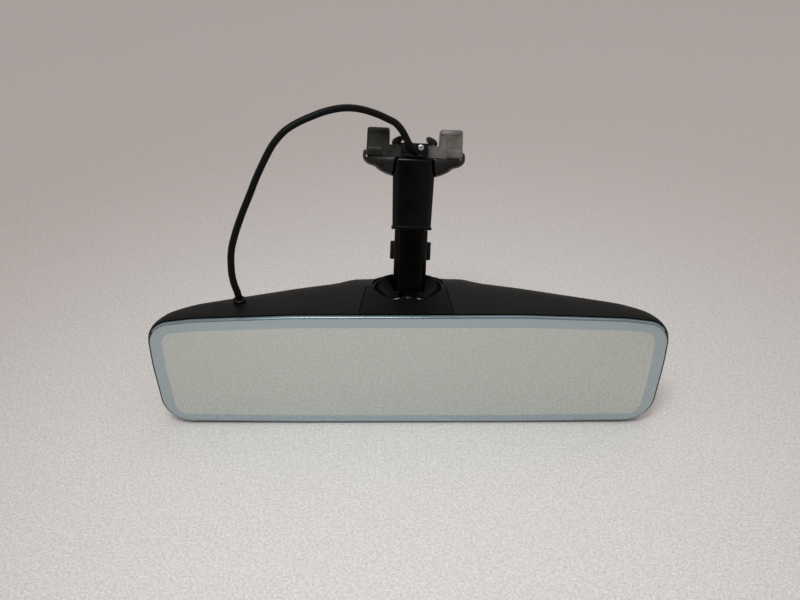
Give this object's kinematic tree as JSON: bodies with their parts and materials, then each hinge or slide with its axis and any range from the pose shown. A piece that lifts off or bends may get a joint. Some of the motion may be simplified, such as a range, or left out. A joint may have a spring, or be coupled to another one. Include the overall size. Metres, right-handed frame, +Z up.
{
  "type": "interior rearview mirror",
  "caption": "Frameless dimming interior mirror on a ball-jointed stalk, with a clip-on windshield mount and a lead from the housing to the mount.",
  "frame": {"origin": "midway between the tops of the mount's two lugs, on the plane where the windshield plate lies", "axes": "+X to the viewer's right along the glass, -Y out of the glass towards the viewer, +Z up"},
  "size_m": [0.2505, 0.0682, 0.1504],
  "materials": {
    "textured_black": "fine moulded texture",
    "gloss_black": "smooth, glossy",
    "inner_plastic": "plain moulded",
    "nylon": "plain moulded",
    "black_rubber": "matt, slight sheen",
    "foam": "open foam",
    "mirror": "polished, with a slightly bluer perimeter band",
    "clear_glass": "clear, coated",
    "cell_seal": "smooth",
    "die_cast": "as cast, satin",
    "dark_cast": "dark, satin",
    "steel": "bright zinc plated",
    "spring_steel": "blackened",
    "copper": "bright copper",
    "board": "green solder mask",
    "clear_plastic": "clear acrylic"
  },
  "bodies": {
    "mount": {"mount_bracket": "die_cast", "bracket_skirt": "dark_cast", "retaining_spring": "spring_steel", "terminal_block": "textured_black", "terminal_screw": "steel", "lock_nut": "steel", "upper_sleeve": "gloss_black", "lower_sleeve_front": "gloss_black", "lower_sleeve_rear": "gloss_black", "latch_tab_left": "textured_black", "latch_tab_right": "textured_black", "ball_stud": "spring_steel", "lead_run_mount": "black_rubber"},
    "ball_liner": {"ball_liner": "nylon", "lead_run_middle": "black_rubber"},
    "socket_cup": {"socket_cup": "steel", "lead_run_housing": "black_rubber"},
    "head": {"ball_seat": "inner_plastic", "dish_spring": "spring_steel", "seat_bracket": "steel", "seat_screw_1": "steel", "seat_screw_2": "steel", "front_glass": "mirror", "rear_glass": "clear_glass", "cell_seal": "cell_seal", "bus_clip_top": "copper", "bus_clip_bottom": "copper", "adhesive_pad": "foam", "carrier_plate": "inner_plastic", "carrier_screw_1": "steel", "carrier_screw_2": "steel", "carrier_screw_3": "steel", "carrier_screw_4": "steel", "circuit_board": "board", "board_connector": "nylon", "glare_sensor": "gloss_black", "ambient_sensor": "gloss_black", "light_pipe": "clear_plastic", "sensor_lens": "clear_plastic", "rear_housing": "textured_black", "centre_cover": "textured_black", "socket_bezel": "gloss_black", "lead_grommet": "black_rubber", "lead_tail": "black_rubber"}
  },
  "joints": [
    {"name": "head_yaw", "type": "hinge", "parent": "mount", "child": "ball_liner", "pos_m": [-0.00363, -0.03701, -0.08305], "axis": [0, 0, 1], "range_deg": [-20, 20], "deforming": ["lead_run_mount"]},
    {"name": "head_pitch", "type": "hinge", "parent": "ball_liner", "child": "socket_cup", "pos_m": [-0.00363, -0.03701, -0.08305], "axis": [1, 0, 0], "range_deg": [-13, 13], "deforming": ["lead_run_middle"]},
    {"name": "head_roll", "type": "hinge", "parent": "socket_cup", "child": "head", "pos_m": [-0.00363, -0.03701, -0.08305], "axis": [0, 1, 0], "range_deg": [-7, 7], "deforming": ["lead_run_housing"]}
  ]
}
